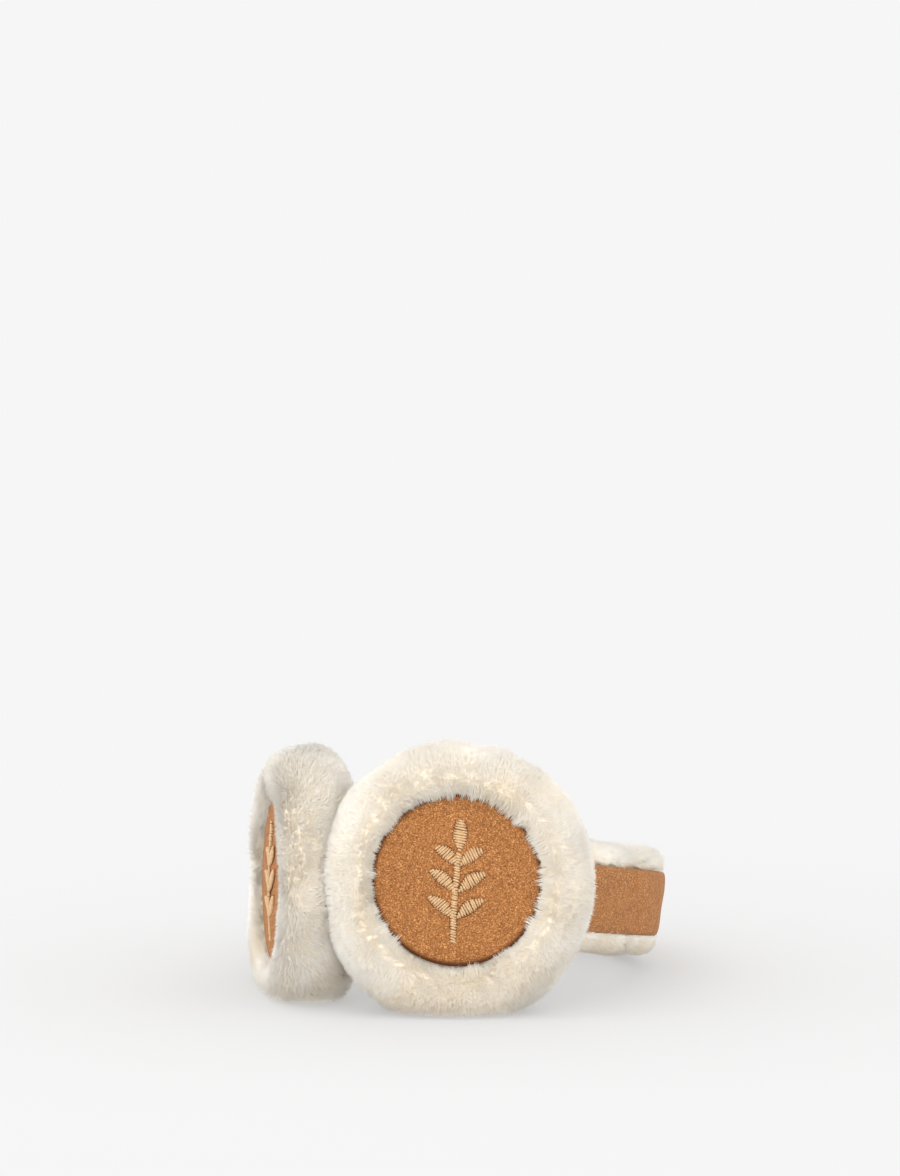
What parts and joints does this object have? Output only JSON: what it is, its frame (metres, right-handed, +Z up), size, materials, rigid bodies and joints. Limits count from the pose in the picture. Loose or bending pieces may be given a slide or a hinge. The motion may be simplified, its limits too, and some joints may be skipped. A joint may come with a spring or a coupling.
{
  "type": "fur earmuffs",
  "caption": "Fleece earmuffs with round ear pads, suede discs set into their faces, and a curved fleece headband with a suede strip, standing on their rims.",
  "frame": {"origin": "on the surface it stands on, below the middle of the bounding box", "axes": "+Z up, +Y from the ear pads towards the crown of the headband, +X from the left ear pad to the right one"},
  "size_m": [0.1698, 0.2156, 0.1075],
  "materials": {
    "fleece": "dense short cream fleece, combed, soft and matt",
    "suede": "tan suede with a fine matt nap"
  },
  "bodies": {
    "root": {"right_ear_fur": "fleece", "left_ear_fur": "fleece", "headband_fur": "fleece", "right_ear_disc": "suede", "left_ear_disc": "suede", "headband_suede": "suede"}
  },
  "joints": []
}
